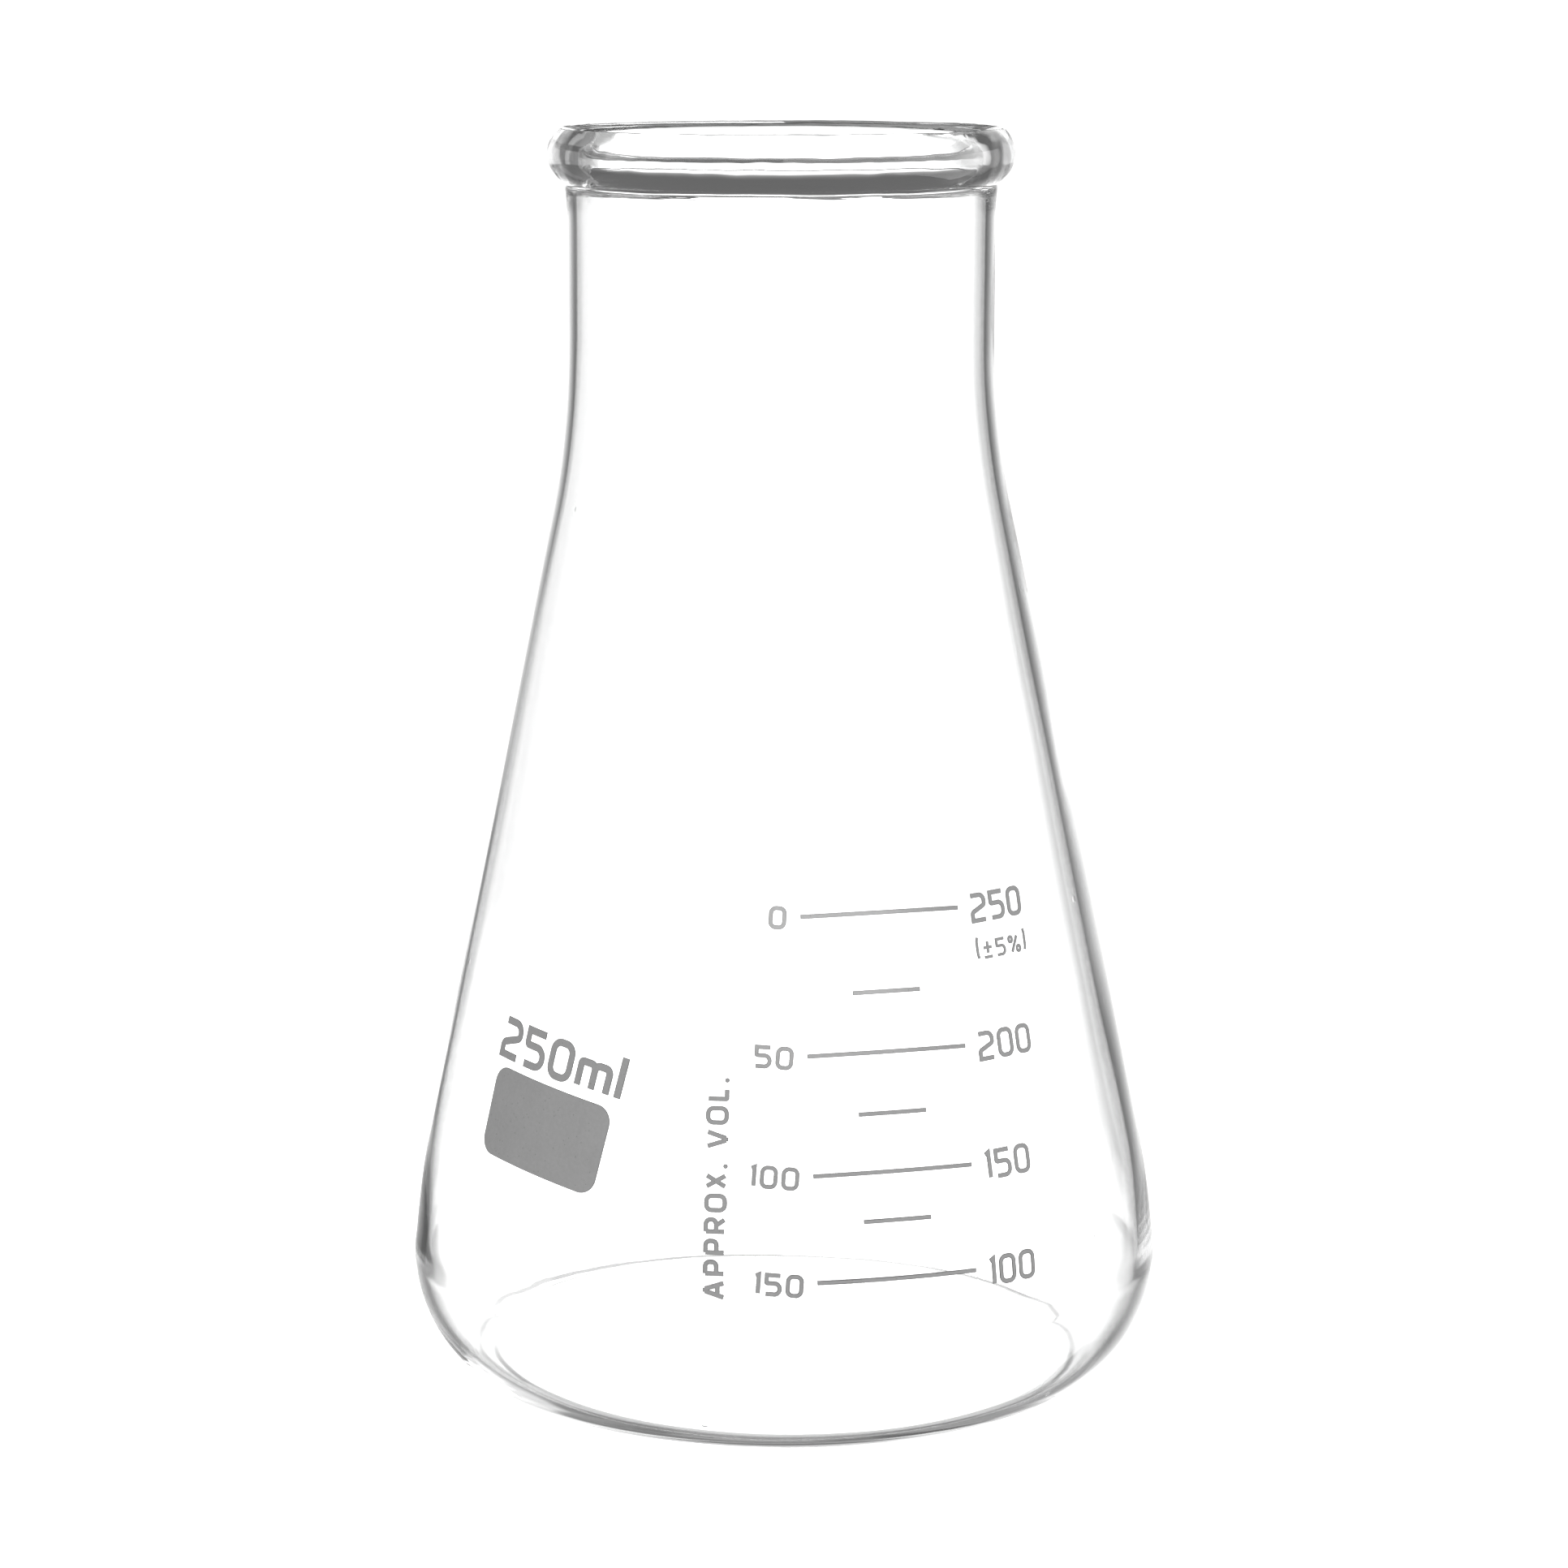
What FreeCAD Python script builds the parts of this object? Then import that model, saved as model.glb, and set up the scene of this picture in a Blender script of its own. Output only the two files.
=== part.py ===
import FreeCAD, Part
import math
import os

# Wide mouth conical flask of blown borosilicate glass, nominal 250 ml.
# Millimetres. The origin is the centre of the standing ring, +Z up, and the
# print faces -Y. Angles round the glass run from -Y towards +X, in degrees.

# Height and diameters of the glass
total_height = 140.0
neck_diameter = 47.4
neck_length = 23.4
body_diameter = 84.7

# Curves of the outer wall, from the neck down
shoulder_radius = 92.0
swell_radius = 90.0
swell_end_angle = 3.2
heel_radius = 14.9
foot_radius = 6.66
foot_start_angle = 50.0

# Standing ring and the floor pushed up inside it
ring_crease_depth = 0.2
ring_width = 2.9
push_up = 1.2
inner_corner_radius = 5.0

# Glass thicknesses
neck_wall = 1.1
cone_wall = 1.0
heel_wall = 1.35
floor_thickness = 1.8

# Beaded rim
bead_diameter = 51.7
bead_radius = 3.8
crest_diameter = 49.2
lip_drop = 0.5
lip_edge_radius = 0.5
flare_step = 0.26
flare_radius = 30.0

# Fired enamel
enamel_thickness = 0.06
enamel_top_height = 66.0
enamel_half_span = 75.0

# Graduation lines, by their height above the bench
long_line_heights = [58.66, 44.22, 31.83, 20.7]
short_line_heights = [50.47, 37.9, 26.8]
long_line_length = 17.9
short_line_length = 7.55
line_width = 0.47
line_tilt = -0.45
scale_angle = 17.6
scale_lean = 0.023

# Numerals right and left of the long lines
volume_numerals = ["250", "200", "150", "100"]
volume_digit_height = 3.22
volume_digit_width = 2.24
volume_digit_gap = 0.44
volume_stroke = 0.51
volume_offset = 1.55
volume_drop = 0.61
remainder_numerals = ["0", "50", "100", "150"]
remainder_digit_height = 2.48
remainder_digit_width = 1.9
remainder_digit_gap = 0.38
remainder_stroke = 0.46
remainder_tilt = -4.0
remainder_offset = 1.45
remainder_drop = 0.24

# Tolerance under the highest numeral
tolerance_height = 2.0
tolerance_width = 1.46
tolerance_gap = 0.42
tolerance_stroke = 0.33
tolerance_drop = 5.09

# Marking spot and the capacity over it
spot_angle = -42.4
spot_middle_height = 34.0
spot_width = 17.7
spot_height = 9.75
spot_corner_radius = 1.9
block_tilt = -6.8
capacity_digit_height = 4.55
capacity_digit_width = 3.55
capacity_digit_gap = 0.62
capacity_stroke = 0.83
capacity_lift = 0.85

# Upright legend of the scale
legend_angle = -10.4
legend_middle_height = 30.3
legend_tilt = 0.9
legend_letter_height = 2.48
legend_letter_width = 2.0
legend_letter_gap = 0.5
legend_stroke = 0.5

# Turn from the section's plane to the printed front
FRONT = -90.0

# Letter forms in a unit box: strokes as corner points, each with its rounding
# as a share of the letter's width. A closed stroke ends where it starts.
ROUND = 0.38
FORMS = {
    "0": [("closed", (0, 0, ROUND), (1, 0, ROUND), (1, 1, ROUND), (0, 1, ROUND))],
    "1": [("open", (1, 0, 0), (1, 1, 0), (0, 0.92, 0))],
    "2": [("open", (0, 1, 0), (1, 1, ROUND), (1, 0.59, 0.2), (0, 0.33, 0.2), (0, 0, 0), (1, 0, 0))],
    "5": [("open", (1, 1, 0), (0, 1, 0), (0, 0.57, 0.1), (1, 0.57, ROUND), (1, 0, ROUND), (0, 0, 0))],
    "m": [
        ("open", (0, 0, 0), (0, 1, 0.08), (0.5, 1, 0.16), (0.5, 0, 0)),
        ("open", (0.5, 0.5, 0), (0.5, 1, 0.16), (1, 1, 0.16), (1, 0, 0)),
    ],
    "l": [("open", (0, 0, 0), (0, 1, 0))],
    "(": [("open", (1, 1, 0), (0, 0.8, 1.5), (0, 0.2, 1.5), (1, 0, 0))],
    ")": [("open", (0, 1, 0), (1, 0.8, 1.5), (1, 0.2, 1.5), (0, 0, 0))],
    "±": [
        ("open", (0.5, 0.25, 0), (0.5, 1, 0)),
        ("open", (0, 0.62, 0), (1, 0.62, 0)),
        ("open", (0, 0, 0), (1, 0, 0)),
    ],
    "%": [
        ("open", (0.22, 0, 0), (0.78, 1, 0)),
        ("closed", (0, 0.66, 0.14), (0.3, 0.66, 0.14), (0.3, 1, 0.14), (0, 1, 0.14)),
        ("closed", (0.7, 0, 0.14), (1, 0, 0.14), (1, 0.34, 0.14), (0.7, 0.34, 0.14)),
    ],
    "A": [
        ("open", (0, 0, 0), (0.42, 1, 0)),
        ("open", (0.36, 1, 0), (0.64, 1, 0)),
        ("open", (0.58, 1, 0), (1, 0, 0)),
        ("open", (0.16, 0.33, 0), (0.84, 0.33, 0)),
    ],
    "P": [
        ("open", (0, 0, 0), (0, 1, 0)),
        ("open", (0, 1, 0), (1, 1, ROUND), (1, 0.4, ROUND), (0, 0.4, 0)),
    ],
    "R": [
        ("open", (0, 0, 0), (0, 1, 0)),
        ("open", (0, 1, 0), (1, 1, ROUND), (1, 0.44, ROUND), (0, 0.44, 0)),
        ("open", (0.5, 0.44, 0), (1, 0, 0)),
    ],
    "O": [("closed", (0, 0, ROUND), (1, 0, ROUND), (1, 1, ROUND), (0, 1, ROUND))],
    "X": [("open", (0, 0, 0), (1, 1, 0)), ("open", (0, 1, 0), (1, 0, 0))],
    "V": [
        ("open", (0, 1, 0), (0.42, 0, 0)),
        ("open", (0.36, 0, 0), (0.64, 0, 0)),
        ("open", (0.58, 0, 0), (1, 1, 0)),
    ],
    "L": [("open", (0, 1, 0), (0, 0, 0.1), (1, 0, 0))],
}
# Letters that aren't as wide or as tall as a digit, as shares of it
WIDTHS = {"1": 0.42, "m": 1.3, "l": 0.0, "(": 0.3, ")": 0.3, "%": 1.35,
          "P": 0.86, "R": 0.88, "X": 0.82, "L": 0.74, ".": 0.22, " ": 0.3}
HEIGHTS = {"m": 0.77, "l": 1.16, "(": 1.3, ")": 1.3, "±": 1.0}


def vec(r, z):
    """Point of the section at radius r and height z."""
    return FreeCAD.Vector(r, 0, z)


def polar(centre, radius, angle):
    """Point of a section circle, its angle in radians above the horizontal."""
    return vec(centre.x + radius * math.cos(angle), centre.z + radius * math.sin(angle))


def arc(centre, radius, start, end):
    """Arc of a section circle from one angle to another."""
    stations = [polar(centre, radius, angle) for angle in (start, (start + end) / 2, end)]
    return Part.Arc(*stations).toShape()


def line(start, end):
    """Straight edge between two points."""
    return Part.makeLine(start, end)


def angle_of(centre, point):
    """Angle in radians of a section point seen from a centre."""
    return math.atan2(point.z - centre.z, point.x - centre.x)


def circles_meet(centre_a, radius_a, centre_b, radius_b):
    """Outer crossing point of two section circles."""
    across = centre_b.sub(centre_a)
    gap = across.Length
    along = (radius_a ** 2 - radius_b ** 2 + gap ** 2) / (2 * gap)
    aside = math.sqrt(radius_a ** 2 - along ** 2)
    across.normalize()
    foot = centre_a.add(across * along)
    sides = [foot.add(vec(across.z, -across.x) * side) for side in (aside, -aside)]
    return max(sides, key=lambda point: point.x)


# Outer wall: arcs that run into one another, with the straight cone between
neck_radius = neck_diameter / 2
neck_end = total_height - neck_length
shoulder_centre = vec(neck_radius + shoulder_radius, neck_end)
foot_start = -math.radians(foot_start_angle)
swell_end = math.radians(swell_end_angle)
foot_height = foot_radius - ring_crease_depth
heel_height = foot_height - (heel_radius - foot_radius) * math.sin(foot_start)
heel_centre = vec(body_diameter / 2 - heel_radius, heel_height)
foot_centre = polar(heel_centre, heel_radius - foot_radius, foot_start)
swell_centre = polar(heel_centre, heel_radius - swell_radius, swell_end)
centres_apart = shoulder_centre.sub(swell_centre)
cone_slope = math.atan2(centres_apart.z, centres_apart.x) - math.acos(
    (swell_radius + shoulder_radius) / centres_apart.Length
)
cone_bottom = polar(swell_centre, swell_radius, cone_slope)
cone_top = polar(shoulder_centre, -shoulder_radius, cone_slope)
cone_normal = vec(math.cos(cone_slope), math.sin(cone_slope))

# Standing ring: the foot runs into it with a faint crease
crease_angle = -math.acos(math.sqrt(1 - (foot_height / foot_radius) ** 2))
crease = polar(foot_centre, foot_radius, crease_angle)
ring_inner = vec(crease.x - ring_width, 0)
dome_radius = (ring_inner.x ** 2 + push_up ** 2) / (2 * push_up)
dome_centre = vec(0, push_up - dome_radius)

# Bead, lip and the flare under the bead
bead_centre_radius = bead_diameter / 2 - bead_radius
crest = vec(crest_diameter / 2, total_height)
bead_rise = math.sqrt(bead_radius ** 2 - (crest.x - bead_centre_radius) ** 2)
bead_centre = vec(bead_centre_radius, total_height - bead_rise)
flare_top_radius = neck_radius + flare_step
bead_fall = math.sqrt(bead_radius ** 2 - (flare_top_radius - bead_centre_radius) ** 2)
bead_foot = vec(flare_top_radius, bead_centre.z - bead_fall)
flare_angle = math.acos(1 - flare_step / flare_radius)
flare_bottom = bead_foot.z - flare_radius * math.sin(flare_angle)
flare_centre = vec(neck_radius + flare_radius, flare_bottom)

# Inner wall: the same curves, set in by the glass
bore_radius = neck_radius - neck_wall
inner_cone_top = cone_top.sub(cone_normal * cone_wall)
inner_cone_bottom = cone_bottom.sub(cone_normal * cone_wall)
inner_shoulder_radius = shoulder_radius + neck_wall
inner_shoulder_x = bore_radius + inner_shoulder_radius
inner_shoulder_centre = vec(
    inner_shoulder_x,
    inner_cone_top.z
    + (inner_shoulder_radius - cone_normal.x * (inner_shoulder_x - inner_cone_top.x)) / cone_normal.z,
)
inner_heel_radius = heel_radius - heel_wall
to_inner_cone = inner_cone_bottom.sub(heel_centre)
inner_swell_radius = (to_inner_cone.Length ** 2 - inner_heel_radius ** 2) / (
    2 * (cone_normal.dot(to_inner_cone) - inner_heel_radius)
)
inner_swell_centre = inner_cone_bottom.sub(cone_normal * inner_swell_radius)
floor_dome_radius = dome_radius + floor_thickness
corner_centre = circles_meet(
    heel_centre, inner_heel_radius - inner_corner_radius,
    dome_centre, floor_dome_radius + inner_corner_radius,
)


def underside_edges():
    """Pushed-up underside and the flat standing ring, from the axis out."""
    rim_angle = angle_of(dome_centre, ring_inner)
    return [
        arc(dome_centre, dome_radius, math.pi / 2, rim_angle),
        line(ring_inner, crease),
    ]


def outer_edges():
    """Outer wall from the standing ring up to the crest of the rim."""
    neck_bottom = vec(neck_radius, neck_end)
    neck_top = vec(neck_radius, flare_bottom)
    return [
        arc(foot_centre, foot_radius, crease_angle, foot_start),
        arc(heel_centre, heel_radius, foot_start, swell_end),
        arc(swell_centre, swell_radius, swell_end, cone_slope),
        line(cone_bottom, cone_top),
        arc(shoulder_centre, -shoulder_radius, cone_slope, 0),
        line(neck_bottom, neck_top),
        arc(flare_centre, -flare_radius, 0, -flare_angle),
        arc(bead_centre, bead_radius, angle_of(bead_centre, bead_foot), angle_of(bead_centre, crest)),
    ]


def lip_edges():
    """Lip that falls from the crest to the rounded edge of the bore."""
    start = math.pi / 2 + math.atan2(lip_drop, crest.x - bore_radius)
    setback = lip_edge_radius * math.tan((math.pi - start) / 2)
    centre = vec(bore_radius + lip_edge_radius, total_height - lip_drop - setback)
    return [
        line(crest, polar(centre, lip_edge_radius, start)),
        arc(centre, lip_edge_radius, start, math.pi),
    ], polar(centre, lip_edge_radius, math.pi)


def inner_edges(bore_top):
    """Inner wall from the bore down to the top of the floor on the axis."""
    bore_bottom = vec(bore_radius, inner_shoulder_centre.z)
    inner_swell_end = angle_of(inner_swell_centre, heel_centre)
    corner_start = angle_of(heel_centre, corner_centre)
    floor_angle = angle_of(dome_centre, corner_centre)
    return [
        line(bore_top, bore_bottom),
        arc(inner_shoulder_centre, -inner_shoulder_radius, 0, cone_slope),
        line(polar(inner_shoulder_centre, -inner_shoulder_radius, cone_slope), inner_cone_bottom),
        arc(inner_swell_centre, inner_swell_radius, cone_slope, inner_swell_end),
        arc(heel_centre, inner_heel_radius, inner_swell_end, corner_start),
        arc(corner_centre, inner_corner_radius, corner_start, floor_angle - math.pi),
        arc(dome_centre, floor_dome_radius, floor_angle, math.pi / 2),
    ]


def turned(edges, start=0.0, sweep=360.0):
    """Solid turned about the axis from a closed section, starting at an angle."""
    origin = FreeCAD.Vector(0, 0, 0)
    axis = FreeCAD.Vector(0, 0, 1)
    section = Part.Face(Part.Wire(Part.__sortEdges__(edges)))
    section.rotate(origin, axis, start + FRONT)
    return section.revolve(origin, axis, sweep)


def glass_flask():
    """The blown glass in one piece."""
    lip, bore_top = lip_edges()
    edges = underside_edges() + outer_edges() + lip + inner_edges(bore_top)
    edges.append(line(vec(0, dome_centre.z + floor_dome_radius), vec(0, push_up)))
    return turned(edges)


def cone_point(height):
    """Point of the straight cone's outer line at a height."""
    return vec(cone_bottom.x - (height - cone_bottom.z) * math.tan(cone_slope), height)


def wall_at(height):
    """Radius and slope of the outer wall where the print lies."""
    if height >= cone_bottom.z:
        return cone_point(height).x, cone_slope
    slope = math.asin((height - swell_centre.z) / swell_radius)
    return polar(swell_centre, swell_radius, slope).x, slope


def enamel_skin():
    """Thin skin on the outer wall that every printed mark is cut from."""
    low = polar(swell_centre, swell_radius, swell_end)
    low_out = polar(swell_centre, swell_radius + enamel_thickness, swell_end)
    high = cone_point(enamel_top_height)
    step = cone_normal * enamel_thickness
    edges = [
        arc(swell_centre, swell_radius, swell_end, cone_slope),
        line(cone_bottom, high),
        line(high, high.add(step)),
        line(high.add(step), cone_bottom.add(step)),
        arc(swell_centre, swell_radius + enamel_thickness, cone_slope, swell_end),
        line(low_out, low),
    ]
    return turned(edges, -enamel_half_span, 2 * enamel_half_span)


def path_stations(corners, side, closed):
    """Corner points of a stroke's one edge, each with its arc where rounded."""
    points = [FreeCAD.Vector(x, y, 0) for x, y, _ in corners]
    count = len(points)
    legs = count if closed else count - 1
    ways = [points[(i + 1) % count].sub(points[i]).normalize() for i in range(legs)]
    lefts = [FreeCAD.Vector(-way.y, way.x, 0) for way in ways]
    stations = []
    for i in range(count):
        if not closed and i in (0, count - 1):
            left = lefts[0] if i == 0 else lefts[-1]
            stations.append([points[i].add(left * side)])
            continue
        way_in, way_out = ways[i - 1], ways[i % legs]
        left_in, left_out = lefts[i - 1], lefts[i % legs]
        vertex = points[i].add((left_in + left_out) * (side / (1 + left_in.dot(left_out))))
        turn = math.atan2(way_in.cross(way_out).z, way_in.dot(way_out))
        radius = corners[i][2] - side * math.copysign(1, turn)
        if corners[i][2] <= 0 or radius <= 0.02:
            stations.append([vertex])
            continue
        setback = radius * math.tan(abs(turn) / 2)
        inward = (way_out - way_in).normalize()
        bulge = radius / math.cos(turn / 2) - radius
        stations.append([vertex - way_in * setback, vertex + inward * bulge, vertex + way_out * setback])
    return stations


def path_edges(stations, closed):
    """Straight and round edges through a stroke edge's stations."""
    edges = []
    for i, station in enumerate(stations):
        if len(station) == 3:
            edges.append(Part.Arc(*station).toShape())
        if i + 1 < len(stations) or closed:
            following = stations[(i + 1) % len(stations)]
            if station[-1].distanceToPoint(following[0]) > 1e-6:
                edges.append(line(station[-1], following[0]))
    return edges


def stroke_face(kind, corners, stroke):
    """Flat face of one stroke of constant width."""
    closed = kind == "closed"
    sides = [path_stations(corners, side, closed) for side in (stroke / 2, -stroke / 2)]
    runs = [path_edges(stations, closed) for stations in sides]
    if closed:
        inner, outer = [Part.Face(Part.Wire(Part.__sortEdges__(run))) for run in runs]
        return outer.cut(inner).Faces[0]
    caps = [line(sides[0][end][end], sides[1][end][end]) for end in (0, -1)]
    return Part.Face(Part.Wire(Part.__sortEdges__(runs[0] + runs[1] + caps)))


def dot_face(centre_x, radius):
    """Round full stop that sits on the base line."""
    circle = Part.makeCircle(radius, FreeCAD.Vector(centre_x, radius, 0))
    return Part.Face(Part.Wire(circle))


def letter_faces(letter, left, width, height, stroke):
    """Faces of one letter whose box starts at left on the base line."""
    if letter == " ":
        return []
    if letter == ".":
        return [dot_face(left + width / 2, width / 2)]
    faces = []
    reach_x = max(width - stroke, 0)
    reach_y = height - stroke
    for kind, *corners in FORMS[letter]:
        placed = [
            (left + stroke / 2 + x * reach_x, stroke / 2 + y * reach_y, rounding * reach_x)
            for x, y, rounding in corners
        ]
        faces.append(stroke_face(kind, placed, stroke))
    return faces


def text_letters(text, digit_width, digit_height, gap, stroke):
    """Letters of a line of text, and the line's width."""
    letters = []
    left = 0
    for letter in text:
        width = max(digit_width * WIDTHS.get(letter, 1), stroke)
        height = digit_height * HEIGHTS.get(letter, 1)
        letters.append(letter_faces(letter, left, width, height, stroke))
        left += width + gap
    return letters, left - gap


def glass_frame(angle, height):
    """Placement of a flat print that touches the wall at an angle and height."""
    radius, slope = wall_at(height)
    turn = math.radians(angle)
    outward = FreeCAD.Vector(math.sin(turn), -math.cos(turn), 0)
    rightward = FreeCAD.Vector(math.cos(turn), math.sin(turn), 0)
    upward = FreeCAD.Vector(0, 0, 1) * math.cos(slope) - outward * math.sin(slope)
    normal = outward * math.cos(slope) + FreeCAD.Vector(0, 0, 1) * math.sin(slope)
    spot = outward * radius + FreeCAD.Vector(0, 0, height)
    return FreeCAD.Placement(spot, FreeCAD.Rotation(rightward, upward, normal, "XYZ"))


def printed(skin, faces, angle, height, tilt=0.0, shift=(0, 0)):
    """Enamel of one letter or field: the skin inside its outline."""
    depth = body_diameter / 8
    frame = glass_frame(angle, height)
    turn = FreeCAD.Placement(FreeCAD.Vector(0, 0, 0), FreeCAD.Rotation(FreeCAD.Vector(0, 0, 1), tilt))
    move = FreeCAD.Placement(FreeCAD.Vector(shift[0], shift[1], -depth), FreeCAD.Rotation())
    prisms = [face.extrude(FreeCAD.Vector(0, 0, 1.5 * depth)) for face in faces]
    prism = prisms[0] if len(prisms) == 1 else prisms[0].multiFuse(prisms[1:]).removeSplitter()
    prism.Placement = frame.multiply(turn).multiply(move).multiply(prism.Placement)
    return skin.common(prism).Solids


def printed_text(skin, letters, angle, height, tilt=0.0, shift=(0, 0)):
    """Enamel of a whole line of text."""
    solids = []
    for faces in letters:
        if faces:
            solids += printed(skin, faces, angle, height, tilt, shift)
    return solids


def scale_centre(height):
    """Angle of the middle of the scale at a height: the scale leans a little."""
    middle = (max(long_line_heights) + min(long_line_heights)) / 2
    return scale_angle + scale_lean * (height - middle)


def beside_line(height, arc_length):
    """Angle of a spot beside a line's middle, by its distance round the glass."""
    return scale_centre(height) + math.degrees(arc_length / wall_at(height)[0])


def graduation_line(skin, height, length):
    """One line of the scale, straight across the print."""
    radius = wall_at(height)[0]
    half_w = radius * math.sin(length / radius / 2)
    half_h = line_width / 2
    corners = [FreeCAD.Vector(x * half_w, y * half_h, 0) for x, y in ((-1, -1), (1, -1), (1, 1), (-1, 1))]
    face = Part.Face(Part.makePolygon(corners + corners[:1]))
    return printed(skin, [face], scale_centre(height), height, line_tilt)


def graduation_lines(skin):
    solids = []
    for height in long_line_heights:
        solids += graduation_line(skin, height, long_line_length)
    for height in short_line_heights:
        solids += graduation_line(skin, height, short_line_length)
    return solids


def volume_marks(skin):
    """Numerals right of the long lines, counting up with the height."""
    solids = []
    for text, height in zip(volume_numerals, long_line_heights):
        letters, width = text_letters(
            text, volume_digit_width, volume_digit_height, volume_digit_gap, volume_stroke
        )
        angle = beside_line(height, long_line_length / 2 + volume_offset + width / 2)
        shift = (-width / 2, -volume_digit_height / 2)
        solids += printed_text(skin, letters, angle, height - volume_drop, shift=shift)
    return solids


def remainder_marks(skin):
    """Smaller numerals left of the long lines, counting up as it is emptied."""
    solids = []
    for text, height in zip(remainder_numerals, long_line_heights):
        letters, width = text_letters(
            text, remainder_digit_width, remainder_digit_height, remainder_digit_gap, remainder_stroke
        )
        angle = beside_line(height, -long_line_length / 2 - remainder_offset - width / 2)
        shift = (-width / 2, -remainder_digit_height / 2)
        solids += printed_text(skin, letters, angle, height - remainder_drop, remainder_tilt, shift)
    return solids


def tolerance_mark(skin):
    """Tolerance of the scale in brackets, under the highest numeral."""
    letters, width = text_letters(
        "(±5%)", tolerance_width, tolerance_height, tolerance_gap, tolerance_stroke
    )
    top = long_line_heights[0]
    numeral_width = text_letters(
        volume_numerals[0], volume_digit_width, volume_digit_height, volume_digit_gap, volume_stroke
    )[1]
    angle = beside_line(top, long_line_length / 2 + volume_offset + numeral_width / 2)
    shift = (-width / 2, -tolerance_height / 2)
    return printed_text(skin, letters, angle, top - tolerance_drop, shift=shift)


def marking_spot(skin):
    """Filled field with round corners."""
    half_w, half_h = spot_width / 2, spot_height / 2
    corners = [(x * half_w, y * half_h, spot_corner_radius) for x, y in ((-1, -1), (1, -1), (1, 1), (-1, 1))]
    face = Part.Face(Part.Wire(Part.__sortEdges__(path_edges(path_stations(corners, 0, True), True))))
    return printed(skin, [face], spot_angle, spot_middle_height, block_tilt)


def capacity_mark(skin):
    """Capacity in larger figures along the top edge of the marking spot."""
    letters, width = text_letters(
        "250ml", capacity_digit_width, capacity_digit_height, capacity_digit_gap, capacity_stroke
    )
    shift = (-width / 2, spot_height / 2 + capacity_lift)
    return printed_text(skin, letters, spot_angle, spot_middle_height, block_tilt, shift)


def scale_legend(skin):
    """Words that read upwards beside the scale."""
    letters, width = text_letters(
        "APPROX. VOL.", legend_letter_width, legend_letter_height, legend_letter_gap, legend_stroke
    )
    shift = (-width / 2, -legend_letter_height / 2)
    return printed_text(skin, letters, legend_angle, legend_middle_height, 90 + legend_tilt, shift)


def save(name, solids):
    """Write one node, and print its solids and volume."""
    shape = solids[0] if len(solids) == 1 else Part.makeCompound(solids)
    shape.exportStep(os.path.join("parts", name + ".step"))
    print(name, len(solids), "solids", round(shape.Volume, 3), "mm3", shape.isValid())


os.makedirs("parts", exist_ok=True)
save("glass_flask", [glass_flask()])
skin = enamel_skin()
save("graduation_lines", graduation_lines(skin))
save("volume_numerals", volume_marks(skin))
save("remainder_numerals", remainder_marks(skin))
save("tolerance_mark", tolerance_mark(skin))
save("marking_spot", marking_spot(skin))
save("capacity_mark", capacity_mark(skin))
save("scale_legend", scale_legend(skin))
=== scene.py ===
import math

import bmesh
import bpy
from bpy.props import FloatProperty, FloatVectorProperty, IntProperty, PointerProperty
from bpy.types import Operator, Panel, PropertyGroup
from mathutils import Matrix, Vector, noise


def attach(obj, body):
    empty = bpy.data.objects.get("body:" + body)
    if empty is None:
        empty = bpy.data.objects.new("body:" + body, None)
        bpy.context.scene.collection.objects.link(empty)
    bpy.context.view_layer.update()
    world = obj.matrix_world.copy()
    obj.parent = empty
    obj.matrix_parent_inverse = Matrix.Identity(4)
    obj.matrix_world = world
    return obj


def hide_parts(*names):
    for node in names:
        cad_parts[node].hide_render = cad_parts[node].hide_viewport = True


bl_info = {
    "name": "Wide Mouth Conical Flask",
    "version": (1, 0),
    "blender": (4, 5, 0),
    "location": "View3D > Sidebar > Flask",
    "description": "Dresses the flask's frame with blown glass and fired enamel",
    "category": "Object",
}

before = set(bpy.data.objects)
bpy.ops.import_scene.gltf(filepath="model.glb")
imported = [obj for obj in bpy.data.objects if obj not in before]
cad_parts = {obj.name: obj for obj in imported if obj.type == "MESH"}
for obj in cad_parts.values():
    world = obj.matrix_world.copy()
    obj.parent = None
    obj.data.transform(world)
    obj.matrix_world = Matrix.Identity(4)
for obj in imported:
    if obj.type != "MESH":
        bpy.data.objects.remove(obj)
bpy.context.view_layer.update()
MM = 0.001
LIGHT_TURNS = 128  # light caught in the heel and the floor turns many times before it leaves
PRINT_NODES = (
    "marking_spot",
    "graduation_lines",
    "volume_numerals",
    "remainder_numerals",
    "tolerance_mark",
    "capacity_mark",
    "scale_legend",
)


# Shader nodes


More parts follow.
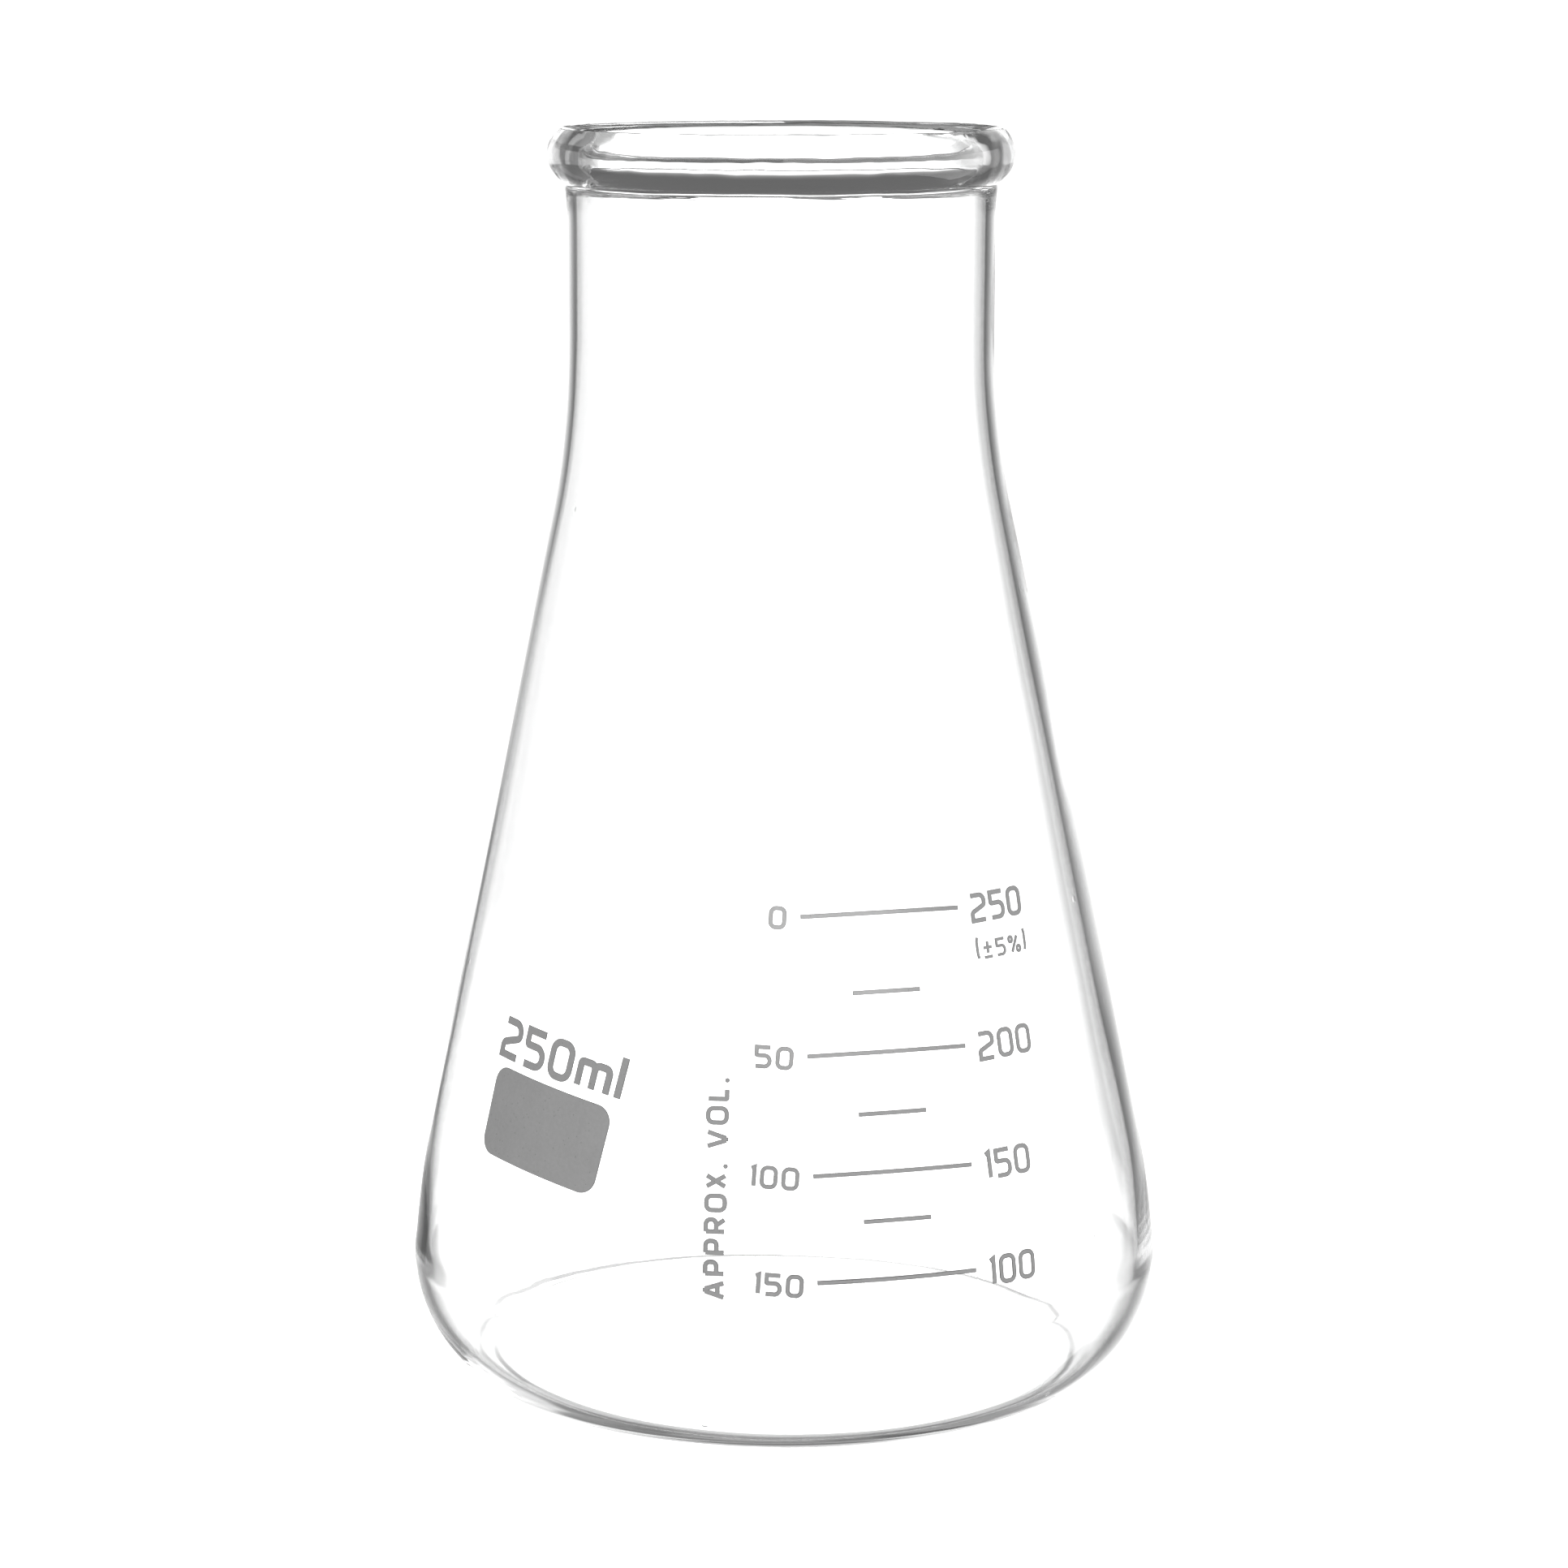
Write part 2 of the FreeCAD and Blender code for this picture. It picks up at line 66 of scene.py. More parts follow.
class Field:
    """A shader value. Arithmetic on it adds the Math nodes that work it out."""

    def __init__(self, nodes, socket):
        self.nodes = nodes
        self.socket = socket

    def math(self, operation, *others):
        """Result of one Math node on this value and the others."""
        inputs = dict(enumerate((self, *others)))
        return self.nodes.add("ShaderNodeMath", {"operation": operation}, inputs)[0]

    def __add__(self, other):
        return self.math("ADD", other)

    def __sub__(self, other):
        return self.math("SUBTRACT", other)

    def __mul__(self, other):
        return self.math("MULTIPLY", other)

    def __truediv__(self, other):
        return self.math("DIVIDE", other)

    def __neg__(self):
        return self * -1

    def __radd__(self, other):
        return self + other

    def __rsub__(self, other):
        return -self + other

    def __rmul__(self, other):
        return self * other

    def step(self, low, high):
        """Smooth rise from 0 at low to 1 at high; a fall where low is the larger."""
        flip = low > high
        inputs = {"Value": self, "From Min": min(low, high), "From Max": max(low, high)}
        rise = self.nodes.add("ShaderNodeMapRange", {"interpolation_type": "SMOOTHSTEP"}, inputs)[0]
        return 1 - rise if flip else rise

    def within(self, low, high, soft):
        """1 between two values and 0 outside, with soft edges."""
        return self.step(low - soft, low + soft) * self.step(high + soft, high - soft)

    def larger(self, other):
        """The larger of two values."""
        return self.math("MAXIMUM", other)


class Nodes:
    """Node tree of one material or world."""

    def __init__(self, owner):
        owner.use_nodes = True
        self.tree = owner.node_tree
        self.tree.nodes.clear()

    def add(self, kind, settings=None, inputs=None):
        """Adds a node; its outputs come back as fields, in order."""
        node = self.tree.nodes.new(kind)
        for name, value in (settings or {}).items():
            setattr(node, name, value)
        for key, value in (inputs or {}).items():
            socket = node.inputs[key]
            if isinstance(value, Field):
                self.tree.links.new(value.socket, socket)
            else:
                socket.default_value = value
        return [Field(self, output) for output in node.outputs]

    def position(self):
        """Object coordinates, in metres."""
        return self.add("ShaderNodeTexCoord")[3]

    def split(self, vector):
        """X, Y and Z of a vector."""
        return self.add("ShaderNodeSeparateXYZ", inputs={0: vector})[:3]

    def scaled(self, vector, factors):
        """A vector with each part multiplied."""
        settings = {"operation": "MULTIPLY"}
        return self.add("ShaderNodeVectorMath", settings, {0: vector, 1: factors})[0]

    def noise(self, vector, scale, detail=2.0):
        """Noise between 0 and 1."""
        inputs = {"Vector": vector, "Scale": scale, "Detail": detail}
        return self.add("ShaderNodeTexNoise", None, inputs)[0]

    def cells(self, vector, scale):
        """Distance to the nearest of scattered points."""
        return self.add("ShaderNodeTexVoronoi", None, {"Vector": vector, "Scale": scale})[0]

    def colours(self, factor, first, second):
        """Mix of two colours."""
        settings = {"data_type": "RGBA"}
        return self.add("ShaderNodeMix", settings, {0: factor, 6: first, 7: second})[2]

    def bump(self, height, distance):
        """Normal of a surface with that relief."""
        inputs = {"Height": height, "Distance": distance, "Strength": 1.0}
        return self.add("ShaderNodeBump", None, inputs)[0]

    def curve(self, field, stops):
        """Value read off a line of (input, output) stops. The ramp holds outputs up to 1."""
        low, high = stops[0][0], stops[-1][0]
        most = max(tone for _, tone in stops)
        colour = self.add("ShaderNodeValToRGB", None, {"Fac": (field - low) / (high - low)})[0]
        ramp = colour.socket.node.color_ramp
        for place, tone in stops[1:-1]:
            ramp.elements.new((place - low) / (high - low)).color = grey(tone / most)
        ramp.elements[0].color = grey(stops[0][1] / most)
        ramp.elements[-1].color = grey(stops[-1][1] / most)
        return self.split(colour)[0] * most

    def surface(self, shader, kind="ShaderNodeOutputMaterial"):
        """Puts the shader on the output."""
        self.add(kind, None, {"Surface": shader})


def grey(tone):
    """Neutral colour of one tone."""
    return (tone, tone, tone, 1.0)


# Settings


class FlaskGlassSettings(PropertyGroup):
    """Sizes and unevenness of the blown glass"""

    total_height: FloatProperty(
        name="Height",
        description="Bench to the crest of the rim",
        default=0.140,
        subtype="DISTANCE",
        unit="LENGTH",
    )
    neck_diameter: FloatProperty(
        name="Neck diameter",
        description="Outside of the neck",
        default=0.0474,
        subtype="DISTANCE",
        unit="LENGTH",
    )
    body_diameter: FloatProperty(
        name="Body diameter",
        description="Widest part, at the heel",
        default=0.0847,
        subtype="DISTANCE",
        unit="LENGTH",
    )
    bead_diameter: FloatProperty(
        name="Bead diameter",
        description="Outside of the beaded rim",
        default=0.0517,
        subtype="DISTANCE",
        unit="LENGTH",
    )
    neck_wall: FloatProperty(
        name="Neck wall",
        description="Thickness of the glass at the neck",
        default=0.0011,
        subtype="DISTANCE",
        unit="LENGTH",
    )
    cone_wall: FloatProperty(
        name="Cone wall",
        description="Thickness of the glass at the cone",
        default=0.0010,
        subtype="DISTANCE",
        unit="LENGTH",
    )
    heel_wall: FloatProperty(
        name="Heel wall",
        description="Thickness of the glass at the heel",
        default=0.00135,
        subtype="DISTANCE",
        unit="LENGTH",
    )
    wall_shift: FloatProperty(
        name="Wall shift",
        description="How far the inside lies off the axis in the body",
        default=0.00037,
        subtype="DISTANCE",
        unit="LENGTH",
    )
    neck_lean: FloatProperty(
        name="Neck lean",
        description="How far the neck stands off the axis of the body",
        default=0.00032,
        subtype="DISTANCE",
        unit="LENGTH",
    )
    bead_unevenness: FloatProperty(
        name="Bead unevenness",
        description="Waviness of the rim that was turned over by hand",
        default=0.00007,
        subtype="DISTANCE",
        unit="LENGTH",
    )
    wall_unevenness: FloatProperty(
        name="Wall unevenness",
        description="Waviness of the inside of the wall",
        default=0.00003,
        subtype="DISTANCE",
        unit="LENGTH",
    )
    segments: IntProperty(name="Segments", description="Steps round the axis", default=240, min=48)
    refraction: FloatProperty(
        name="Refractive index",
        description="Borosilicate glass",
        default=1.474,
        min=1.0,
    )
    tint: FloatVectorProperty(
        name="Glass colour",
        description="Colour of the clear glass",
        default=(0.995, 0.997, 0.997, 1.0),
        size=4,
        subtype="COLOR",
    )


class FlaskEnamelSettings(PropertyGroup):
    """Colours of the fired enamel, painted in greys: painted shade of white enamel lit from behind
    """

    colour: FloatVectorProperty(
        name="Enamel",
        # painted shade: the enamel is white; this mid grey stands for the print lit from behind
        description="Mid grey fired enamel",
        default=grey(0.24),
        size=4,
        subtype="COLOR",
    )
    edge_colour: FloatVectorProperty(
        name="Stroke edge",
        description="Thicker enamel along the edge of a stroke",
        default=grey(0.11),
        size=4,
        subtype="COLOR",
    )
    thin_colour: FloatVectorProperty(
        name="Thin enamel",
        description="Enamel where the screen printed thinly",
        default=grey(0.33),
        size=4,
        subtype="COLOR",
    )
    edge_width: FloatProperty(
        name="Edge width",
        description="Width of the darker edge",
        default=0.00009,
        subtype="DISTANCE",
        unit="LENGTH",
    )


class FlaskStageSettings(PropertyGroup):
    """Floor, surroundings, light and camera"""

    floor_tone: FloatProperty(
        name="Floor",
        description="Brightness of the pale floor",
        default=1.17,
        min=0.0,
    )
    backdrop_tone: FloatProperty(
        name="Backdrop",
        description="Brightness of the lit backdrop seen through the glass",
        default=1.43,
        min=0.0,
    )
    dark_tone: FloatProperty(
        name="Dark surroundings",
        description="Brightness of the room round the backdrop",
        default=0.13,
        min=0.0,
    )
    soft_tone: FloatProperty(
        name="Soft surroundings",
        description="Even light on the print",
        default=0.6,
        min=0.0,
    )
    lamp_power: FloatProperty(
        name="Soft light",
        description="Power of the large soft lamp",
        default=14.0,
        min=0.0,
        unit="POWER",
    )
    camera_distance: FloatProperty(
        name="Camera distance",
        description="Along the ground, from the axis",
        default=0.48355,
        subtype="DISTANCE",
        unit="LENGTH",
    )
    camera_height: FloatProperty(
        name="Camera height",
        description="Above the bench",
        default=0.15506,
        subtype="DISTANCE",
        unit="LENGTH",
    )
    camera_pitch: FloatProperty(
        name="Camera pitch",
        description="Downwards from level",
        default=math.radians(10.37),
        subtype="ANGLE",
        unit="ROTATION",
    )
    lens: FloatProperty(
        name="Lens",
        description="Focal length on a 36 mm sensor",
        default=99.90,
        unit="CAMERA",
    )


# Blown glass


def ring_point(centre, radius, angle):
    """Point of a section circle."""
    return (centre[0] + radius * math.cos(angle), centre[1] + radius * math.sin(angle))


def sweep(centre, radius, start, end, count, zone):
    """Points along an arc of the section, each with its zone."""
    steps = [start + (end - start) * i / count for i in range(count)]
    return [(*ring_point(centre, radius, angle), zone) for angle in steps]


def straight(start, end, count, zone):
    """Points along a line of the section, each with its zone."""
    dr, dz = end[0] - start[0], end[1] - start[1]
    return [(start[0] + dr * i / count, start[1] + dz * i / count, zone) for i in range(count)]


def glass_section(size):
    """Closed section of the flask from the axis underneath to the axis inside, in metres."""
    neck_r, body_r = size.neck_diameter / 2, size.body_diameter / 2
    neck_length = 23.4 * MM
    shoulder_r, swell_r, heel_r, foot_r = 92.0 * MM, 90.0 * MM, 14.9 * MM, 6.66 * MM
    foot_start, swell_end = math.radians(-50), math.radians(3.2)
    ring_width, push_up, worn_off = 2.9 * MM, 1.2 * MM, 0.2 * MM
    bead_r, crest_r = 3.8 * MM, 24.6 * MM
    flare_r, flare_step = 30.0 * MM, 0.26 * MM
    lip_r, lip_drop = 0.5 * MM, 0.5 * MM
    corner_r, floor_rise = 5.0 * MM, 1.8 * MM

    # outside of the body and the floor from underneath
    foot_z = foot_r - worn_off
    heel_z = foot_z - (heel_r - foot_r) * math.sin(foot_start)
    heel = (body_r - heel_r, heel_z)
    foot = ring_point(heel, heel_r - foot_r, foot_start)
    swell = ring_point(heel, heel_r - swell_r, swell_end)
    shoulder = (neck_r + shoulder_r, size.total_height - neck_length)
    across = (shoulder[0] - swell[0], shoulder[1] - swell[1])
    turn = math.acos((swell_r + shoulder_r) / math.hypot(*across))
    slope = math.atan2(across[1], across[0]) - turn
    crease_angle = -math.asin(foot_z / foot_r)
    crease = ring_point(foot, foot_r, crease_angle)
    ring_in = crease[0] - ring_width
    dome_r = (ring_in**2 + push_up**2) / (2 * push_up)
    dome = (0.0, push_up - dome_r)

    # beaded rim and the lip inside it
    bead_x = size.bead_diameter / 2 - bead_r
    crest = (crest_r, size.total_height)
    bead = (bead_x, crest[1] - math.sqrt(bead_r**2 - (crest[0] - bead_x) ** 2))
    bead_start = -math.acos((neck_r + flare_step - bead_x) / bead_r)
    bead_end = math.acos((crest[0] - bead_x) / bead_r)
    flare_angle = math.acos(1 - flare_step / flare_r)
    flare_z = ring_point(bead, bead_r, bead_start)[1] - flare_r * math.sin(flare_angle)
    flare = (neck_r + flare_r, flare_z)
    bore_r = neck_r - size.neck_wall
    lip_start = math.pi / 2 + math.atan2(lip_drop, crest[0] - bore_r)
    lip = (bore_r + lip_r, crest[1] - lip_drop - lip_r * math.tan((math.pi - lip_start) / 2))

    # inside of the shoulder, the cone and the heel, each a wall's thickness in
    wall = size.cone_wall
    top = ring_point(shoulder, -shoulder_r, slope)
    bottom = ring_point(swell, swell_r, slope)
    way = (math.cos(slope), math.sin(slope))
    in_top = (top[0] - wall * way[0], top[1] - wall * way[1])
    in_bottom = (bottom[0] - wall * way[0], bottom[1] - wall * way[1])
    in_shoulder_r = shoulder_r + size.neck_wall
    in_x = bore_r + in_shoulder_r
    in_shoulder = (in_x, in_top[1] + (in_shoulder_r - way[0] * (in_x - in_top[0])) / way[1])
    in_heel_r = heel_r - size.heel_wall
    apart = (in_bottom[0] - heel[0], in_bottom[1] - heel[1])
    reach = way[0] * apart[0] + way[1] * apart[1]
    in_swell_r = (apart[0] ** 2 + apart[1] ** 2 - in_heel_r**2) / (2 * (reach - in_heel_r))
    in_swell = (in_bottom[0] - in_swell_r * way[0], in_bottom[1] - in_swell_r * way[1])
    in_swell_end = math.atan2(heel[1] - in_swell[1], heel[0] - in_swell[0])

    # floor, and the corner arc that touches it and the inside of the heel
    floor_middle = push_up + floor_rise
    floor_r = (ring_in**2 + floor_rise**2) / (2 * floor_rise)
    inner = (0.0, floor_middle - floor_r)
    near, far = in_heel_r - corner_r, floor_r + corner_r
    dx, dz = inner[0] - heel[0], inner[1] - heel[1]
    gap = math.hypot(dx, dz)
    along = (near**2 - far**2 + gap**2) / (2 * gap)
    aside = math.sqrt(near**2 - along**2)
    corner = (heel[0] + (along * dx - aside * dz) / gap, heel[1] + (along * dz + aside * dx) / gap)
    corner_start = math.atan2(corner[1] - heel[1], corner[0] - heel[0])
    floor_angle = math.atan2(corner[1] - inner[1], corner[0] - inner[0])
    ring_angle = math.atan2(-dome[1], ring_in)

    # all of it in order, with the steps of each stretch
    section = sweep(dome, dome_r, math.pi / 2, ring_angle, 20, "under")
    section += straight((ring_in, 0.0), crease, 5, "ring")
    section += sweep(foot, foot_r, crease_angle, foot_start, 12, "foot")
    section += sweep(heel, heel_r, foot_start, swell_end, 24, "heel")
    section += sweep(swell, swell_r, swell_end, slope, 10, "wall")
    section += straight(bottom, top, 26, "wall")
    section += sweep(shoulder, -shoulder_r, slope, 0.0, 16, "wall")
    section += straight((neck_r, shoulder[1]), (neck_r, flare_z), 20, "neck")
    section += sweep(flare, -flare_r, 0.0, -flare_angle, 8, "neck")
    section += sweep(bead, bead_r, bead_start, bead_end, 52, "bead")
    section += straight(crest, ring_point(lip, lip_r, lip_start), 10, "lip")
    section += sweep(lip, lip_r, lip_start, math.pi, 10, "lip")
    section += straight((bore_r, lip[1]), (bore_r, in_shoulder[1]), 24, "bore")
    section += sweep(in_shoulder, -in_shoulder_r, 0.0, slope, 16, "inside")
    section += straight(ring_point(in_shoulder, -in_shoulder_r, slope), in_bottom, 26, "inside")
    section += sweep(in_swell, in_swell_r, slope, in_swell_end, 8, "inside")
    section += sweep(heel, in_heel_r, in_swell_end, corner_start, 14, "inside")
    section += sweep(corner, corner_r, corner_start, floor_angle - math.pi, 18, "corner")
    section += sweep(inner, floor_r, floor_angle, math.pi / 2, 24, "floor")
    section.append((0.0, floor_middle, "floor"))
    return section


def ripple(spot, grain, seed):
    """Smooth noise between -1 and 1 with features of about the grain's size."""
    return noise.noise(Vector(spot) / grain + Vector((seed, seed * 1.7, -seed)))


def share_between(value, low, high):
    """0 below low, 1 above high, and smooth between."""
    share = min(max((value - low) / (high - low), 0.0), 1.0)
    return share * share * (3 - 2 * share)


def sideways(size, zone, z):
    """How far the glass stands to the left of its axis at a height, in metres."""
    lean = size.neck_lean * share_between(z, 58 * MM, 118 * MM)
    if zone not in ("bore", "inside", "corner", "floor"):
        return lean
    above_heel = 0.4 + 0.6 * share_between(z, 5 * MM, 30 * MM)
    below_neck = 1 - 0.92 * share_between(z, 64 * MM, 122 * MM)
    off_floor = share_between(z, 0.0, 8 * MM)
    return lean + size.wall_shift * below_neck * above_heel * off_floor


def eased(zone, z):
    """How far the glass stands out where the heel runs gently into the cone, in metres."""
    middle, length = 13.6 * MM, 12 * MM
    bend = 56.0  # by how much the heel is more curved than the cone, per metre
    reach = length / 2 - abs(z - middle)
    if reach <= 0 or zone not in ("wall", "heel", "inside"):
        return 0.0
    return bend * reach**3 / (6 * length)


def unevenness(size, zone, spot):
    """How far hand-worked glass stands off its true section, in metres."""
    if zone == "bead":
        waves = 0.8 * ripple(spot, 7 * MM, 3) + 0.35 * ripple(spot, 1.6 * MM, 9)
        return size.bead_unevenness * waves
    if zone == "lip":
        waves = 0.5 * ripple(spot, 6 * MM, 5) + 0.5 * ripple(spot, 1.3 * MM, 8)
        return size.bead_unevenness * waves
    if zone == "neck":
        return size.wall_unevenness * 0.3 * ripple(spot, 9 * MM, 12)
    if zone in ("wall", "heel", "foot"):
        off_bench = share_between(spot[2], 0.2 * MM, 4 * MM)
        return size.wall_unevenness * 0.6 * ripple(spot, 12 * MM, 14) * off_bench
    if zone in ("bore", "inside"):
        return size.wall_unevenness * ripple(spot, 16 * MM, 21)
    if zone == "floor":
        return size.wall_unevenness * 1.4 * ripple(spot, 6 * MM, 25)
    return 0.0


def section_normal(section, i):
    """Way out of the glass at a point of the section, as (outwards, upwards)."""
    dr, dz = (section[i + 1][axis] - section[i - 1][axis] for axis in (0, 1))
    length = math.hypot(dr, dz)
    return dz / length, -dr / length


def glass_mesh(size):
    """The flask's surface, turned from its section."""
    section = glass_section(size)
    count = size.segments
    rows = len(section)
    verts, faces = [], []
    for i, (r, z, zone) in enumerate(section):
        if i in (0, rows - 1):
            verts.append((0.0, 0.0, z))
            continue
        out_r, out_z = section_normal(section, i)
        aside = sideways(size, zone, z)
        ease = eased(zone, z) * (-1 if zone == "inside" else 1)
        for j in range(count):
            angle = 2 * math.pi * j / count
            spot = (r * math.cos(angle), r * math.sin(angle), z)
            off = unevenness(size, zone, spot) + ease
            reach = r + off * out_r
            x, y = reach * math.cos(angle) - aside, reach * math.sin(angle)
            verts.append((x, y, z + off * out_z))
    last = len(verts) - 1
    for j in range(count):
        following = (j + 1) % count
        faces.append((0, 1 + following, 1 + j))
        for i in range(rows - 3):
            low, high = 1 + i * count, 1 + (i + 1) * count
            faces.append((low + j, low + following, high + following, high + j))
        end = 1 + (rows - 3) * count
        faces.append((end + j, end + following, last))
    mesh = bpy.data.meshes.new("blown_glass")
    mesh.from_pydata(verts, [], faces)
    mesh.shade_smooth()
    mesh.validate()
    return mesh


def glass_relief(nodes, place, z, radius):
    """Relief of the glass: tool marks under the rim, seeds, scratches and a mottled floor."""
    rings = nodes.noise(nodes.scaled(place, (120.0, 120.0, 3200.0)), 1.0)
    tool_marks = z.within(130.5 * MM, 133.8 * MM, 1.2 * MM) * rings
    floor = z.step(6 * MM, 3 * MM) * radius.step(36 * MM, 30 * MM)
    mottle = nodes.noise(place, 160.0, 3.0) * floor
    seeds = nodes.cells(place, 95.0).step(0.045, 0.02)
    lines = nodes.noise(nodes.scaled(place, (500.0, 500.0, 60.0)), 1.0, 1.0)
    scratches = lines.step(0.74, 0.78)
    drawn = nodes.noise(nodes.scaled(place, (30.0, 30.0, 400.0)), 1.0)
    return tool_marks * 0.35 + mottle * 1.6 + seeds * 0.6 + scratches * 0.05 + drawn * 0.03


def painted_contact_shade_ring(nodes, place, x, y, z):
    """1 on the narrow band where the flask stands, a little off the axis, where a painted contact
    shadow darkens the glass.
    """
    off_axis, wander = 1.2 * MM, 0.7 * MM
    inner, outer, soft = 34.9 * MM, 35.8 * MM, 0.15 * MM
    aside, ahead = x + off_axis, y + off_axis
    wavy = nodes.noise(nodes.scaled(place, (260.0, 260.0, 0.0)), 1.0) * wander
    reach = (aside * aside + ahead * ahead).math("SQRT") + wavy
    return reach.within(inner, outer, soft) * z.step(1.1 * MM, 0.6 * MM)


def glass_material(settings):
    """Clear glass, a little hazy at the heel, with a painted contact shadow: a dark line painted on
    the ring where it stands.
    """
    material = bpy.data.materials.new("clear_glass_blown")
    nodes = Nodes(material)
    place = nodes.position()
    x, y, z = nodes.split(place)
    radius = (x * x + y * y).math("SQRT")
    contact_shade = painted_contact_shade_ring(nodes, place, x, y, z)
    smudges = nodes.noise(place, 40.0, 3.0).step(0.62, 0.8)
    heel_haze = z.within(7 * MM, 16 * MM, 4 * MM)
    relief = glass_relief(nodes, place, z, radius)
    shader = nodes.add(
        "ShaderNodeBsdfPrincipled",
        None,
        {
            # painted contact shadow: the glass is painted dark grey on the ring where it stands on
            # the bench
            "Base Color": nodes.colours(contact_shade, tuple(settings.tint), grey(0.15)),
            "Roughness": smudges * 0.02 + heel_haze * 0.075,
            "IOR": settings.refraction,
            "Transmission Weight": 1.0,
            "Normal": nodes.bump(relief, 0.02 * MM),
        },
    )[0]
    nodes.surface(shader)
    return material


class FLASK_OT_glass(Operator):
    """Turn the blown glass from its section, with the unevenness of hand work"""

    bl_idname = "flask.glass"
    bl_label = "Blown glass"

    def execute(self, context):
        settings = context.scene.flask_glass
        mesh = glass_mesh(settings)
        if not mesh.polygons:
            raise RuntimeError("the glass has no faces")
        mesh.materials.append(glass_material(settings))
        piece = bpy.data.objects.new("blown_glass", mesh)
        context.scene.collection.objects.link(piece)
        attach(piece, "root")
        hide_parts("glass_flask")
        return {"FINISHED"}


# Fired enamel


def enamel_mesh(node, edge_width):
    """Copy of a printed node with a band along the edge of each stroke."""
    same_spot, faces_out = 0.0001 * MM, 0.7
    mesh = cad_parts[node].data.copy()
    mesh.name = node + "_print"
    bm = bmesh.new()
    bm.from_mesh(mesh)
    bmesh.ops.remove_doubles(bm, verts=bm.verts, dist=same_spot)
    bm.normal_update()
    outer = []
    for face in bm.faces:
        middle = face.calc_center_median()
        outward = Vector((middle.x, middle.y, 0)).normalized()
        if face.normal.dot(outward) > faces_out:
            outer.append(face)
    bmesh.ops.inset_region(
        bm,
        faces=outer,
        thickness=edge_width,
        depth=0.0,
        use_boundary=True,
        use_even_offset=True,
    )
    layer = bm.verts.layers.float_color.new("stroke_edge")
    core = {vert for face in outer for vert in face.verts}
    for vert in bm.verts:
        shade = 0.0 if vert in core else 1.0
        vert[layer] = (shade, shade, shade, 1.0)
    bm.to_mesh(mesh)
    bm.free()
    normals = mesh.attributes.get("custom_normal")
    if normals is not None:
        mesh.attributes.remove(normals)
    mesh.shade_flat()
    mesh.materials.clear()
    return mesh


def enamel_material(settings):
    """Fired enamel: grainy, with pinholes and a darker edge to each stroke, in greys that are
    painted shade of white enamel lit from behind.
    """
    material = bpy.data.materials.new("enamel_fired")
    nodes = Nodes(material)
    place = nodes.position()
    x, y, z = nodes.split(place)
    band = nodes.add("ShaderNodeAttribute", {"attribute_name": "stroke_edge"})[0]
    edge = nodes.split(band)[0]
    grain = nodes.noise(place, 2500.0)
    cloud = nodes.noise(place, 300.0)
    thin_across = x.step(18 * MM, 9 * MM) * x.step(-6 * MM, -1 * MM)
    thin = z.step(36 * MM, 52 * MM) * thin_across
    pinholes = nodes.cells(place, 1500.0).step(0.16, 0.08)
    # painted shade: the core, thin and edge greys stand for white enamel lit from behind
    core = nodes.colours(thin, tuple(settings.colour), tuple(settings.thin_colour))
    shaded = nodes.colours(edge * 0.8, core, tuple(settings.edge_colour))
    tone = 0.86 + grain * 0.16 + cloud * 0.12
    inputs = {0: shaded, "Scale": tone}
    varied = nodes.add("ShaderNodeVectorMath", {"operation": "SCALE"}, inputs)[0]
    colour = nodes.colours(pinholes * 0.35, varied, grey(0.08))
    shader = nodes.add(
        "ShaderNodeBsdfPrincipled",
        None,
        {
            "Base Color": colour,
            "Roughness": 0.42 + grain * 0.2,
            "Specular IOR Level": 0.15,
            "Normal": nodes.bump(grain + edge * 0.6, 0.01 * MM),
        },
    )[0]
    nodes.surface(shader)
    return material


class FLASK_OT_enamel(Operator):
    """Dress each printed node with fired enamel"""

    bl_idname = "flask.enamel"
    bl_label = "Enamel print"

    def execute(self, context):
        settings = context.scene.flask_enamel
        material = enamel_material(settings)
        for node in PRINT_NODES:
            mesh = enamel_mesh(node, settings.edge_width)
            mesh.materials.append(material)
            piece = bpy.data.objects.new(node + "_print", mesh)
            context.scene.collection.objects.link(piece)
            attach(piece, "root")
            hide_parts(node)
        return {"FINISHED"}


# Stage


